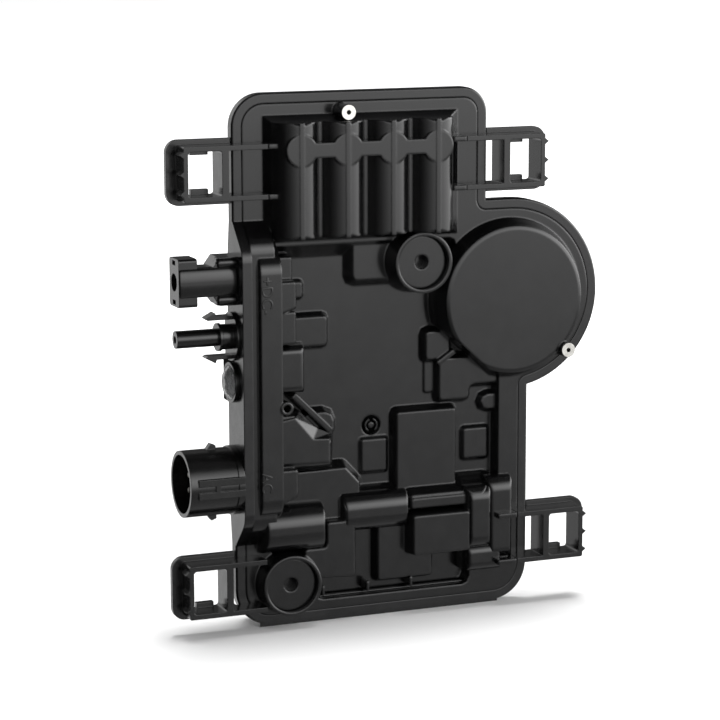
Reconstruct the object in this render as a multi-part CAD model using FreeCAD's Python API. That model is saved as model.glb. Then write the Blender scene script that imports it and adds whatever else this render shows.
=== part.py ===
import FreeCAD, Part
import math
import os
from FreeCAD import Vector

# Solar microinverter, standing upright on the foot of its rear shell.
# Millimetres. X runs to the right, Z up, and Y away from the side with the moulded relief.
# The origin is on the foot's underside, halfway through its depth and 50 mm from its left end.
# The shapes are drawn with Y = 0 at the front of the flange, and a rise is a height in front
# of that plane, towards negative Y.

# Flange of the housing
BODY_LEFT = -60.0
UPPER_RIGHT = 47.7
LOWER_RIGHT = 66.7
BODY_BOTTOM = 0.75
BODY_TOP = 212.75
TOP_LEFT_RADIUS = 13.0
TOP_RIGHT_RADIUS = 10.5
BOTTOM_RADIUS = 15.0
LOBE_X = 58.7
LOBE_Z = 128.5
LOBE_RADIUS = 38.95
FLANGE_EDGE = 0.6
FLANGE_THICKNESS = 4.6
RIM_WIDTH = 4.0

# Rear shell
SHELL_INSET = 7.0
SHELL_DEPTH = 17.0
SHELL_WALL = 2.0
SHELL_EDGE = 2.5
FOOT_LEFT = -50.0
FOOT_RIGHT = 54.0
FOOT_HEIGHT = 9.0
FOOT_FRONT = 0.5
FOOT_END_TAPER = 8.0

# Front cover, its seal and the gap round its edge
COVER_WALL = 2.0
GASKET_THICKNESS = 0.8
GASKET_INSET = 4.6
GASKET_WIDTH = 1.8
SEAM = 0.2
LEDGE_CLEARANCE = 0.3

# Raised edge that carries the connectors
BULKHEAD_LOW = 34.5
BULKHEAD_HIGH = 163.5
BULKHEAD_RISE = 11.4
BULKHEAD_BACK = 7.0
BULKHEAD_BACK_RUN = 17.0
BULKHEAD_ROUNDING = 8.0
GROOVE_DEPTH = 2.8
GROOVE_WIDTH = 3.4
RIDGE_WIDTH = 8.8
RIDGE_SETBACK = 5.0

# Capacitor humps
HUMP_FIRST_X = -35.9
HUMP_PITCH = 19.0
HUMP_COUNT = 4
HUMP_RADIUS = 9.35
HUMP_CROWN = 13.2
HUMP_LENGTH = 45.0
HUMP_TOP_MARGIN = 10.95
HUMP_END_CHAMFER = 1.2
HUMP_BASE_MARGIN = 2.2
HUMP_BASE_RIGHT_MARGIN = 4.5
VALLEY_RIB_WIDTH = 1.3
VALLEY_RIB_RISE = 7.5
DISC_RADIUS = 6.3
DISC_DROP = 10.7
LINK_HEIGHT = 5.8
CROWN_STRIP_WIDTH = 2.0
CROWN_STRIP_RISE = 0.15

# Round transformer dome
DOME_X = 57.5
DOME_Z = 127.0
DOME_RADIUS = 32.6
DOME_RISE = 7.0
DOME_DRAFT = 2.2
DOME_ROUNDING = 1.8
DOME_FLAT = 28.1
DOME_FLAT_TURN = 227.3

# Screw bosses with recessed plugs
BOSS_RISE = 8.5
BOSS_RADIUS = 12.2
BOSS_FOOT_RADIUS = 13.4
BOSS_RIM = 1.5
PLUG_CLEARANCE = 0.15
PLUG_DROP = 2.5
PLUG_THICKNESS = 5.0
PLUG_BORE_RADIUS = 2.8
UPPER_BOSS = (17.0, 144.4)
LOWER_BOSS = (-39.1, 18.1)

# Posts with metal sleeves
POST_RADIUS = 3.1
POST_RISE = 9.0
SLEEVE_RISE = 0.5
SLEEVE_RADIUS = 2.9
SLEEVE_BORE_RADIUS = 0.9
SHANK_RADIUS = 2.2
SLEEVE_LENGTH = 5.0
SLEEVE_CLEARANCE = 0.05
UPPER_POST_X = -15.2
UPPER_POST_MARGIN = 7.75
RIGHT_POST = (80.6, 105.2)

# Connectors on the left edge
CONNECTOR_Y = 1.0
ROOT_CLEARANCE = 0.1
DC_POSITIVE_Z = 141.1
DC_NEGATIVE_Z = 118.6
AC_Z = 61.3
INDICATOR_Z = 100.3
DC_LENGTH = 23.6
ROOT_RADIUS = 5.4
ROOT_STUB = 2.0
TAIL_REACH = 1.8
TAIL_WIDTH = 1.8
TAIL_THICKNESS = 1.0
DC_BARREL_HALF = 5.9
DC_WING_HALF = 9.4
DC_WING_CHAMFER = 2.6
DC_SLOT_DEPTH = 3.6
DC_SLOT_WIDTH = 1.8
DC_HEAD_LENGTH = 7.5
DC_NECK_LENGTH = 6.5
DC_BORE_RADIUS = 3.5
CONTACT_RADIUS = 2.0
CONTACT_WALL = 0.6
DC_PLUG_RADIUS = 3.45
DC_PLUG_BORE_RADIUS = 1.5
DC_COLLAR_RADIUS = 5.0
DC_COLLAR_LENGTH = 6.7
DC_COLLAR_RING = 0.5
DC_COLLAR_RING_WIDTH = 1.2
LATCH_LENGTH = 12.0
LATCH_SPACING = 7.0
LATCH_THICKNESS = 1.5
LATCH_WIDTH = 5.0
LATCH_BARB = 1.4
LATCH_BASE_RADIUS = 9.6
LATCH_BASE_THICKNESS = 1.2
SEAL_RADIUS = 6.6
SEAL_THICKNESS = 1.0
AC_LENGTH = 22.0
AC_RADIUS = 13.2
AC_WALL = 1.6
AC_COLLAR_LENGTH = 2.5
AC_COLLAR_EXTRA = 0.5
AC_INSERT_RADIUS = 7.2
AC_INSERT_LENGTH = 15.0
AC_PIN_RADIUS = 1.2
AC_PIN_CIRCLE = 3.6
AC_PIN_COUNT = 3
AC_PIN_TURN = 60.0
AC_PIN_TIP = 3.5
AC_LUG_HEIGHT = 2.2
AC_LUG_LENGTH = 4.0
LENS_RADIUS = 6.6
BEZEL_RADIUS = 8.0
BEZEL_DEPTH = 1.6
LENS_DOME = 2.4
LIGHT_PIPE_RADIUS = 2.2
LAMP_SIZE = 3.0

# Mounting tabs
TAB_HEIGHT = 21.4
TAB_REACH = 22.0
TAB_RISE = 8.3
TAB_WALL = 2.0
TAB_BAR_INNER = 3.9
TAB_BAR_OUTER = 6.6
TAB_WINDOW_END = 20.2
TAB_RIM_REACH = 26.2
TAB_RIM_MARGIN = 2.0
TAB_RIM_FRONT = 0.9
TAB_RIM_THICKNESS = 2.6
TAB_RIM_RADIUS = 5.0
TAB_GAP = 0.3
TAB_NIB_START = 9.3
TAB_NIB_LENGTH = 7.0
TAB_NIB_HEIGHT = 2.6
TAB_NIB_DEPTH = 2.5
TAB_TOOTH_RADIUS = 1.6
TAB_TOOTH_SPACING = 7.5
UPPER_TAB_LIFT = 15.75
LOWER_RIGHT_TAB_Z = 28.3
LOWER_LEFT_TAB_Z = 19.2

# Sunk floor of the relief, with walls that lean outwards
POCKET_DEPTH = 5.5
POCKET_TOP_MARGIN = 9.5
POCKET_BOTTOM = 9.8
POCKET_LOW_LEFT = (-30.0, -24.5, 30.0)
POCKET_LOW_RIGHT = (40.0, 24.0)
POCKET_RIGHT = 52.8
POCKET_UPPER_RIGHT = (33.5, 100.0, 118.0)
POCKET_CORNER = 3.0
POCKET_DRAFT = 1.0
POCKET_TOP_DRAFT = 5.6
EDGE_BEVEL = 0.6
CORNER_EDGES = 2
LEAST_RADIUS = 0.1
END_TRIM = 0.5

# Raised forms over the components: left, right, bottom, top and rise
CHOKE_LEFT = (-50.9, -24.7, 31.2, 49.4, 8.8)
CHOKE_MIDDLE = (-15.6, 12.6, 36.6, 51.4, 4.5)
CHOKE_RIGHT = (36.4, 47.2, 26.4, 51.2, 7.0)
RELAY = (-23.0, -10.6, 19.0, 41.6, 4.0)
FILTER_CAPACITOR = (0.6, 24.9, 13.9, 37.6, -0.5)
SWITCH_STAGE = (13.2, 38.4, 24.8, 41.5, 7.0)
CONTROLLER = (9.1, 35.3, 46.0, 83.0, -1.0)
SURGE_FILTER = (-46.0, -21.5, 64.5, 76.5, 6.0)
CHOKE_LEFT_END = 5.0
CHOKE_MIDDLE_END = 2.0
SURGE_END = 1.5

# Other raised forms: left, right, bottom, top and rise
TERMINAL_STEP = (-44.0, -37.0, 140.0, 149.5, 4.5)
TERMINAL_NUB = (-38.0, -29.8, 131.4, 138.2, -3.3)
TERMINAL_BOX_LOW = (-44.0, -36.9, 115.2, 128.4, 8.3)
SIDE_PAD = (-40.0, -20.0, 111.9, 124.2, -2.0)
INDICATOR_CHANNEL = (-49.4, -31.2, 95.6, 114.0, 6.0)
SHUNT_BOX = (-31.0, -17.4, 74.0, 85.6, -1.5)
CHOKE_MIDDLE_RAMP = (-14.0, 13.0, 44.0, 49.5, 0.0)
SWITCH_STRIP = (13.2, 38.2, 43.4, 48.2, 4.5)
SWITCH_RAMP = (13.3, 38.1, 44.7, 49.5, 3.9)
CHOKE_RIGHT_RAMP = (36.0, 50.0, 44.0, 50.5, 3.0)
CHOKE_END = (48.5, 58.2, 18.2, 53.4, 5.0)
CORNER_BUMP = (39.4, 53.4, 14.8, 27.5, 2.5)
DOME_PAD = (22.0, 33.0, 103.0, 115.0, -1.7)
THIN_PAD = (22.4, 27.0, 89.0, 106.0, -4.8)
DRIVER_BUMP = (46.8, 57.0, 80.6, 87.4, -2.6)
SENSOR_PAD = (39.6, 50.8, 60.5, 73.4, -3.8)
SMALL_PAD = (-5.0, 6.4, 58.5, 72.3, -4.2)
BOSS_PAD = (-9.8, 15.0, 137.2, 156.0, -1.2)

# Forms with a broken outline: corners (x, z, corner radius), anticlockwise from the front
TERMINAL_BOX_HIGH = ((-44.0, 126.8, 0.0), (-37.2, 129.6, 1.0), (-37.2, 140.4, 1.0), (-44.0, 140.4, 0.0))
TERMINAL_RISE = 9.5
AC_TERMINAL_BOX = ((-44.0, 50.5, 0.0), (-36.7, 54.5, 1.0), (-36.7, 65.5, 1.0), (-44.0, 65.5, 0.0))
AC_TERMINAL_RISE = 9.0
AC_PLATEAU = ((-44.0, 40.0, 0.0), (-13.6, 40.0, 1.0), (-12.5, 47.6, 2.5), (-7.1, 50.6, 1.0),
              (-7.1, 56.0, 1.0), (-13.1, 62.6, 1.0), (-44.0, 62.2, 0.0))
AC_PLATEAU_RISE = 0.0
SURGE_SLANT = ((-28.5, 76.5, 0.0), (-37.0, 86.5, 1.5), (-44.0, 86.5, 0.0))
RELAY_FOOT = ((-32.4, 19.2, 1.2), (-10.6, 18.0, 1.2), (-10.6, 41.6, 1.2), (-23.0, 41.6, 1.2),
              (-23.0, 31.4, 1.2), (-32.4, 31.4, 1.2))
DRIVER_PLATEAU = ((27.9, 86.0, 1.5), (41.5, 86.0, 1.5), (41.5, 91.8, 2.6), (57.9, 91.8, 0.6),
                  (57.9, 103.6, 0.6), (27.9, 103.6, 0.6))
DRIVER_RISE = -1.7

# Slanted ribs: two ends (x, z), thickness and rise
SURGE_RIB = ((-36.3, 94.0), (-20.7, 78.6), 2.5, 3.0)
DOME_RIB = ((34.2, 106.5), (26.8, 101.7), 2.0, 0.0)

# Small round details of the relief
CABLE_RING = (-42.3, 90.7)
CABLE_RING_RISE = 11.9
CABLE_RING_RADIUS = 2.6
CABLE_RING_BORE = 1.5
FLOOR_RECESS = (-0.15, 77.6)
FLOOR_RECESS_RADIUS = 4.0
FLOOR_RECESS_DEPTH = 1.2
FLOOR_NUB_RADIUS = 1.3

# Inside the housing
BOARD_THICKNESS = 1.6
BOARD_GAP = 0.7
BOARD_CLEARANCE = 0.6
SPREADER_THICKNESS = 1.5
CAPACITOR_CLEARANCE = 0.4
PART_CLEARANCE = 0.5
LEAD_RADIUS = 0.5
CORE_HEIGHT = 9.0
CORE_RING_WIDTH = 9.0
WINDING_THICKNESS = 1.6


def at(x, z, rise=0.0):
    """Point at a rise in front of the flange plane."""
    return Vector(x, -rise, z)


def rect(x0, x1, z0, z1, radius=0.0):
    """Corners (x, z, radius) of an upright rectangle, anticlockwise as seen from the front."""
    return [(x0, z0, radius), (x1, z0, radius), (x1, z1, radius), (x0, z1, radius)]


def grown(corners, amount):
    """Anticlockwise corners moved outwards by an amount; rounded corners keep their centres."""
    result = []
    count = len(corners)
    for i, (x, z, radius) in enumerate(corners):
        before = corners[i - 1]
        after = corners[(i + 1) % count]
        ax, az = x - before[0], z - before[1]
        bx, bz = after[0] - x, after[1] - z
        a, b = math.hypot(ax, az), math.hypot(bx, bz)
        nax, naz = az / a, -ax / a
        nbx, nbz = bz / b, -bx / b
        spread = 1 + nax * nbx + naz * nbz
        turn = ax * bz - az * bx
        new_radius = radius + amount if turn > 0 else radius - amount
        new_radius = max(new_radius, LEAST_RADIUS) if radius else 0.0
        shift_x = (nax + nbx) / spread * amount
        shift_z = (naz + nbz) / spread * amount
        result.append((x + shift_x, z + shift_z, new_radius))
    return result


def loop_wire(corners, place):
    """Closed wire through (a, b, radius) corners, which place turns into points in space."""
    spots = [place(a, b) for a, b, radius in corners]
    starts, middles, ends = [], [], []
    for i, (a, b, radius) in enumerate(corners):
        here = spots[i]
        to_before = (spots[i - 1] - here).normalize()
        to_after = (spots[(i + 1) % len(spots)] - here).normalize()
        half = to_before.getAngle(to_after) / 2
        reach = radius / math.tan(half)
        starts.append(here + to_before * reach)
        ends.append(here + to_after * reach)
        inward = (to_before + to_after)
        if radius > 0:
            middles.append(here + inward.normalize() * (radius / math.sin(half) - radius))
        else:
            middles.append(None)
    edges = []
    for i in range(len(corners)):
        if middles[i] is not None:
            edges.append(Part.Arc(starts[i], middles[i], ends[i]).toShape())
        following = starts[(i + 1) % len(corners)]
        if (following - ends[i]).Length > 1e-6:
            edges.append(Part.LineSegment(ends[i], following).toShape())
    return Part.Wire(edges)


def plan_wire(corners, y=0.0):
    """Wire parallel to the flange, at a depth y."""
    return loop_wire(corners, lambda x, z: Vector(x, y, z))


def prism(corners, y_front, y_back):
    """Upright plate with the outline of the corners."""
    face = Part.Face(plan_wire(corners, y_front))
    return face.extrude(Vector(0, y_back - y_front, 0))


def box(x0, x1, y0, y1, z0, z1):
    """Block between two corners."""
    return Part.makeBox(x1 - x0, y1 - y0, z1 - z0, Vector(x0, y0, z0))


def rod_x(x0, x1, y, z, radius):
    """Cylinder along X."""
    return Part.makeCylinder(radius, x1 - x0, Vector(x0, y, z), Vector(1, 0, 0))


def turned(profile, x, z):
    """Body of revolution about an axis along Y; profile is (radius, rise, corner radius)."""
    wire = loop_wire(profile, lambda r, rise: at(x + r, z, rise))
    return Part.Face(wire).revolve(at(x, z), Vector(0, 1, 0), 360)


def chamfered(solid, size, wanted):
    """Solid with the edges for which wanted(edge) holds chamfered."""
    return solid.makeChamfer(size, [edge for edge in solid.Edges if wanted(edge)])


def flat_at(y):
    """Test for an edge that lies in the plane at depth y."""
    return lambda edge: all(abs(vertex.Point.y - y) < 1e-4 for vertex in edge.Vertexes)


def faceted(corners):
    """Outline points with each rounded corner drawn as short straight edges."""
    count = len(corners)
    points = []
    for i, (x, z, radius) in enumerate(corners):
        here = Vector(x, 0, z)
        if radius == 0.0:
            points.append(here)
            continue
        to_before = (Vector(corners[i - 1][0], 0, corners[i - 1][1]) - here).normalize()
        after = corners[(i + 1) % count]
        to_after = (Vector(after[0], 0, after[1]) - here).normalize()
        half = to_before.getAngle(to_after) / 2
        inward = (to_before + to_after).normalize()
        middle = here + inward * (radius / math.sin(half))
        first = here + to_before * (radius / math.tan(half)) - middle
        last = here + to_after * (radius / math.tan(half)) - middle
        for step in range(CORNER_EDGES + 1):
            share = step / CORNER_EDGES
            reach = first * (1 - share) + last * share
            points.append(middle + reach.normalize() * radius)
    return points


def stack(stages):
    """Solid through level outlines, given as (corners, y), with straight sides between them."""
    loops = [[Vector(point.x, y, point.z) for point in faceted(corners)] for corners, y in stages]
    faces = [Part.Face(Part.makePolygon(loop + loop[:1])) for loop in (loops[0], loops[-1])]
    count = len(loops[0])
    for lower, upper in zip(loops, loops[1:]):
        for i in range(count):
            k = (i + 1) % count
            wire = Part.makePolygon([lower[i], lower[k], upper[k], upper[i], lower[i]])
            faces.append(Part.Face(wire))
    solid = Part.Solid(Part.Shell(faces))
    if solid.Volume < 0:
        solid.reverse()
    return solid


# Housing outline

def flange_wire():
    """Outline of the housing: a plate with rounded corners and a round lobe on the right."""
    drop = math.sqrt(LOBE_RADIUS ** 2 - (LOWER_RIGHT - LOBE_X) ** 2)
    lobe_top = Vector(LOBE_X, 0, LOBE_Z + LOBE_RADIUS)
    lobe_side = Vector(LOBE_X + LOBE_RADIUS, 0, LOBE_Z)
    lobe_end = Vector(LOWER_RIGHT, 0, LOBE_Z - drop)
    notch = Vector(UPPER_RIGHT, 0, LOBE_Z + LOBE_RADIUS)

    def corner(x, z, radius, dx, dz):
        start = Vector(x + dx * radius, 0, z)
        end = Vector(x, 0, z + dz * radius)
        near = radius * (1 - math.sqrt(0.5))
        middle = Vector(x + dx * near, 0, z + dz * near)
        return start, middle, end

    top_left = corner(BODY_LEFT, BODY_TOP, TOP_LEFT_RADIUS, 1, -1)
    top_right = corner(UPPER_RIGHT, BODY_TOP, TOP_RIGHT_RADIUS, -1, -1)
    low_right = corner(LOWER_RIGHT, BODY_BOTTOM, BOTTOM_RADIUS, -1, 1)
    low_left = corner(BODY_LEFT, BODY_BOTTOM, BOTTOM_RADIUS, 1, 1)
    edges = [
        Part.LineSegment(top_left[0], top_right[0]),
        Part.Arc(*top_right),
        Part.LineSegment(top_right[2], notch),
        Part.LineSegment(notch, lobe_top),
        Part.Arc(lobe_top, lobe_side, lobe_end),
        Part.LineSegment(lobe_end, low_right[2]),
        Part.Arc(*reversed(low_right)),
        Part.LineSegment(low_right[0], low_left[0]),
        Part.Arc(*low_left),
        Part.LineSegment(low_left[2], top_left[2]),
        Part.Arc(*reversed(top_left)),
    ]
    return Part.Wire([edge.toShape() for edge in edges])


def flange_plate(inset, y_front, y_back):
    """Plate with the flange's outline drawn in by an inset."""
    wire = flange_wire()
    if inset:
        wire = wire.makeOffset2D(-inset)
    face = Part.Face(wire)
    face.translate(Vector(0, y_front, 0))
    return face.extrude(Vector(0, y_back - y_front, 0))


def raised_band(x0, x1, rise, y_front, y_back, back="follows", setback=0.0):
    """Band that climbs in front of the flange between the ends of the bulkhead.

    Its front lies at y_front, and at y_front less the rise along the bulkhead. Its back at y_back
    follows it, stays flat, or tapers from the back of the flange.
    """
    low, high = BULKHEAD_LOW + setback, BULKHEAD_HIGH - setback
    curve = BULKHEAD_ROUNDING
    outline = [
        (y_front, low, 0.0),
        (y_front - rise, low + rise, curve),
        (y_front - rise, high - rise, curve),
        (y_front, high, 0.0),
    ]
    if back == "follows":
        outline += [
            (y_back, high, 0.0),
            (y_back - rise, high - rise, curve),
            (y_back - rise, low + rise, curve),
            (y_back, low, 0.0),
        ]
    elif back == "tapers":
        outline += [
            (FLANGE_THICKNESS, high, 0.0),
            (y_back, high - BULKHEAD_BACK_RUN, 0.0),
            (y_back, low + BULKHEAD_BACK_RUN, 0.0),
            (FLANGE_THICKNESS, low, 0.0),
        ]
    else:
        outline += [(y_back, high, 0.0), (y_back, low, 0.0)]
    wire = loop_wire(outline, lambda y, z: Vector(x0, y, z))
    return Part.Face(wire).extrude(Vector(x1 - x0, 0, 0))


# Lines that the housing, the cover and the seal share
LIP_X = BODY_LEFT + RIM_WIDTH
RIDGE_LEFT = LIP_X + GROOVE_WIDTH
RIDGE_RIGHT = RIDGE_LEFT + RIDGE_WIDTH
SEAT_RISE = BULKHEAD_RISE - GROOVE_DEPTH
LEDGE_Y = COVER_WALL + GASKET_THICKNESS
CAVITY_INSET = SHELL_INSET + SHELL_WALL
CAVITY_X = BODY_LEFT + CAVITY_INSET
BOARD_INSET = CAVITY_INSET + BOARD_CLEARANCE
CAVITY_BACK = SHELL_DEPTH - SHELL_WALL
FLOOR_BACK = POCKET_DEPTH + COVER_WALL
FOOT_MIDDLE = (FOOT_FRONT + SHELL_DEPTH) / 2
ROOT_END = CAVITY_X + ROOT_STUB
TAIL_END = ROOT_END + TAIL_REACH
BOARD_FRONT = FLOOR_BACK + BOARD_GAP
BOARD_BACK = BOARD_FRONT + BOARD_THICKNESS
SPREADER_FRONT = CAVITY_BACK - SPREADER_THICKNESS
FORM_LEFT = RIDGE_RIGHT - COVER_WALL
HUMP_HIGH = BODY_TOP - HUMP_TOP_MARGIN
HUMP_LOW = HUMP_HIGH - HUMP_LENGTH
DISC_Z = HUMP_HIGH - DISC_DROP
UPPER_POST = (UPPER_POST_X, BODY_TOP - UPPER_POST_MARGIN)
UPPER_TAB_Z = LOBE_Z + LOBE_RADIUS + UPPER_TAB_LIFT


# Relief of the front cover: each form is an outer solid and the hollow behind it

def pad(corners, rise, slope=0.0, base=-POCKET_DEPTH):
    """Raised pad with sloping sides and a bevelled top edge.

    corners are the outline of its top before the bevel, and slope is how far its foot spreads.
    """
    def build(inset):
        top = grown(corners, -inset)
        if inset:
            top = [(x, z, 0.0) for x, z, radius in top]
        foot = grown(top, slope)
        top_y = inset - rise
        stages = [(foot, FLOOR_BACK + inset), (foot, inset - base)]
        if inset:
            return stack(stages + [(top, top_y)])
        return stack(stages + [(top, top_y + EDGE_BEVEL), (grown(top, -EDGE_BEVEL), top_y)])
    return build


def plain_pad(form, radius, slope):
    """Pad over an upright rectangle."""
    return pad(rect(*form[:4], radius), form[4], slope)


def rounded_block(along, low, high, start, end, front, back, curve):
    """Block with its front edges rounded: the two sides for along z, the two ends for along x."""
    profile = [(low, back, 0.0), (high, back, 0.0), (high, front, curve), (low, front, curve)]
    if along == "x":
        wire = loop_wire(profile, lambda a, y: Vector(start, y, a))
        return Part.Face(wire).extrude(Vector(end - start, 0, 0))
    wire = loop_wire(profile, lambda a, y: Vector(a, y, start))
    return Part.Face(wire).extrude(Vector(0, 0, end - start))


def bar(along, x0, x1, z0, z1, rise, rounding, end_rounding=0.0):
    """Raised bar with rounded front edges, lying along X or standing along Z."""
    def build(inset):
        root_y = FLOOR_BACK + inset
        front = -(rise - inset)
        left, right, low, high = x0 + inset, x1 - inset, z0 + inset, z1 - inset
        across = high - low if along == "x" else right - left
        length = right - left if along == "x" else high - low
        curve = min(max(rounding - inset, 0.5), across / 2 - 0.01)
        other = "z" if along == "x" else "x"
        ranges = {"x": (low, high, left, right), "z": (left, right, low, high)}
        solid = rounded_block(along, *ranges[along], front, root_y, curve)
        if end_rounding and not inset:
            end_curve = min(end_rounding, length / 2 - 0.01)
            solid = solid.common(rounded_block(other, *ranges[other], front, root_y, end_curve))
        if end_rounding and inset:
            trim = end_rounding * END_TRIM
            if along == "x":
                left, right = left + trim, right - trim
            else:
                low, high = low + trim, high - trim
            ranges = {"x": (low, high, left, right), "z": (left, right, low, high)}
            solid = rounded_block(along, *ranges[along], front, root_y, curve)
        return solid
    return build


def boss(x, z):
    """Conical screw boss with an open end."""
    def build(inset):
        root = -(FLOOR_BACK + inset)
        top = BOSS_RISE - (PLUG_DROP + PLUG_THICKNESS + inset if inset else 0)
        profile = [
            (0, root, 0.0),
            (BOSS_FOOT_RADIUS - inset, root, 0.0),
            (BOSS_RADIUS - inset, top, 0.0),
            (0, top, 0.0),
        ]
        return turned(profile, x, z)
    return build


def dome():
    """Round transformer dome with a sloping side, a stepped edge and one flat."""
    def build(inset):
        root = -(FLOOR_BACK + inset)
        top = DOME_RISE - inset
        foot_radius = DOME_RADIUS - inset
        top_radius = foot_radius - DOME_DRAFT
        profile = [(0, root, 0.0), (foot_radius, root, 0.0), (foot_radius, 0, 0.0)]
        if inset:
            profile.append((top_radius, top, 0.0))
        else:
            step = DOME_ROUNDING / 2
            profile.append((top_radius, top - DOME_ROUNDING, 0.0))
            profile.append((top_radius - step / 2, top - step / 2, 0.0))
            profile.append((top_radius - DOME_ROUNDING, top, 0.0))
        profile.append((0, top, 0.0))
        solid = turned(profile, DOME_X, DOME_Z)
        turn = math.radians(DOME_FLAT_TURN)
        away = Vector(math.cos(turn), 0, math.sin(turn))
        along = Vector(-away.z, 0, away.x)
        near = Vector(DOME_X, 0, DOME_Z) + away * (DOME_FLAT - inset)
        size = 2 * DOME_RADIUS
        spots = [near + along * size, near - along * size, near - along * size - away * 2 * size,
                 near + along * size - away * 2 * size]
        side = prism([(spot.x, spot.z, 0.0) for spot in spots], -DOME_RISE - 1, FLOOR_BACK + inset + 1)
        return solid.common(side)
    return build


def hump_x(index):
    """Middle of one capacitor hump."""
    return HUMP_FIRST_X + index * HUMP_PITCH


HUMPS_LEFT = HUMP_FIRST_X - HUMP_RADIUS
HUMPS_RIGHT = hump_x(HUMP_COUNT - 1) + HUMP_RADIUS


def with_left(corners):
    """Outline whose two end corners are moved to the side of the ridge."""
    (first_x, first_z, first_radius), *middle, (last_x, last_z, last_radius) = corners
    return [(FORM_LEFT, first_z, first_radius), *middle, (FORM_LEFT, last_z, last_radius)]


def slanted_rib(start, end, thickness, rise):
    """Straight rib on the pocket floor between two points."""
    a, b = Vector(start[0], 0, start[1]), Vector(end[0], 0, end[1])
    across = (b - a).normalize().cross(Vector(0, 1, 0)) * (thickness / 2)
    spots = [a - across, b - across, b + across, a + across]
    return prism([(spot.x, spot.z, 0.0) for spot in spots], -rise, FLOOR_BACK)


def hump_base(inset):
    """Block under the humps, with sloping sides."""
    axis_rise = HUMP_CROWN - HUMP_RADIUS
    top = rect(HUMPS_LEFT + inset, HUMPS_RIGHT - inset, HUMP_LOW + inset, HUMP_HIGH - inset)
    foot = rect(HUMPS_LEFT - HUMP_BASE_MARGIN + inset, HUMPS_RIGHT + HUMP_BASE_RIGHT_MARGIN - inset,
                HUMP_LOW - HUMP_BASE_MARGIN + inset, HUMP_HIGH + HUMP_BASE_MARGIN - inset)
    return stack([(foot, FLOOR_BACK + inset), (foot, inset), (top, inset - axis_rise)])


def hump(index):
    """Half-round hump over one capacitor, with chamfered ends."""
    middle = hump_x(index)
    plain = bar("z", middle - HUMP_RADIUS, middle + HUMP_RADIUS, HUMP_LOW, HUMP_HIGH, HUMP_CROWN, HUMP_RADIUS)

    def build(inset):
        solid = plain(inset)
        if inset:
            return solid
        chamfer = HUMP_END_CHAMFER
        front = -HUMP_CROWN
        points = [(HUMP_LOW, FLOOR_BACK), (HUMP_LOW, front + chamfer), (HUMP_LOW + chamfer, front),
                  (HUMP_HIGH - chamfer, front), (HUMP_HIGH, front + chamfer), (HUMP_HIGH, FLOOR_BACK)]
        outline = [Vector(middle - 2 * HUMP_RADIUS, y, z) for z, y in points]
        ends = Part.Face(Part.makePolygon(outline + outline[:1])).extrude(Vector(4 * HUMP_RADIUS, 0, 0))
        return solid.common(ends)
    return build


def relief_forms():
    """Every raised form of the relief, by name."""
    forms = {"hump_base": hump_base}
    for index in range(HUMP_COUNT):
        forms[f"hump_{index + 1}"] = hump(index)
    forms["dome"] = dome()
    forms["upper_boss"] = boss(*UPPER_BOSS)
    forms["lower_boss"] = boss(*LOWER_BOSS)
    forms["terminal_box_high"] = pad(with_left(TERMINAL_BOX_HIGH), TERMINAL_RISE, 0.6)
    forms["terminal_step"] = plain_pad(TERMINAL_STEP, 1.0, 1.0)
    forms["terminal_nub"] = plain_pad(TERMINAL_NUB, 1.2, 0.8)
    forms["terminal_box_low"] = plain_pad(TERMINAL_BOX_LOW, 1.0, 0.6)
    forms["side_pad"] = plain_pad(SIDE_PAD, 1.5, 1.3)
    forms["indicator_channel"] = bar("z", *INDICATOR_CHANNEL, 9.0, 5.0)
    forms["shunt_box"] = plain_pad(SHUNT_BOX, 4.0, 1.5)
    forms["surge_filter"] = bar("x", *SURGE_FILTER, 3.0, SURGE_END)
    forms["surge_slant"] = pad(with_left([(FORM_LEFT, SURGE_SLANT[0][1] - 1, 0.0), *SURGE_SLANT]),
                               SURGE_FILTER[4] - 0.5, 0.6)
    forms["ac_terminal_box"] = pad(with_left(AC_TERMINAL_BOX), AC_TERMINAL_RISE, 0.6)
    forms["ac_plateau"] = pad(with_left(AC_PLATEAU), AC_PLATEAU_RISE, 2.2)
    forms["choke_left"] = bar("x", *CHOKE_LEFT, 9.0, CHOKE_LEFT_END)
    forms["relay"] = pad(list(RELAY_FOOT), RELAY[4], 0.8)
    forms["choke_middle"] = bar("x", *CHOKE_MIDDLE, 7.4, CHOKE_MIDDLE_END)
    forms["choke_middle_ramp"] = plain_pad(CHOKE_MIDDLE_RAMP, 1.0, 4.0)
    forms["filter_capacitor"] = plain_pad(FILTER_CAPACITOR, 1.2, 1.0)
    forms["switch_stage"] = plain_pad(SWITCH_STAGE, 1.2, 1.2)
    forms["switch_strip"] = plain_pad(SWITCH_STRIP, 1.0, 0.8)
    forms["switch_ramp"] = plain_pad(SWITCH_RAMP, 1.0, 4.0)
    forms["choke_right"] = bar("x", *CHOKE_RIGHT, 5.0, 5.0)
    forms["choke_right_ramp"] = plain_pad(CHOKE_RIGHT_RAMP, 1.0, 4.5)
    forms["choke_end"] = bar("z", *CHOKE_END, 4.8, 5.0)
    forms["corner_bump"] = bar("x", *CORNER_BUMP, 4.0, 4.0)
    forms["dome_pad"] = plain_pad(DOME_PAD, 1.5, 1.5)
    forms["thin_pad"] = plain_pad(THIN_PAD, 1.2, 0.1)
    forms["driver_plateau"] = pad(list(DRIVER_PLATEAU), DRIVER_RISE, 1.6)
    forms["driver_bump"] = plain_pad(DRIVER_BUMP, 3.2, 1.2)
    forms["sensor_pad"] = plain_pad(SENSOR_PAD, 1.0, 1.0)
    forms["controller"] = plain_pad(CONTROLLER, 1.2, 1.5)
    forms["small_pad"] = plain_pad(SMALL_PAD, 0.8, 0.9)
    forms["boss_pad"] = plain_pad(BOSS_PAD, 2.0, 2.5)
    return forms


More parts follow.
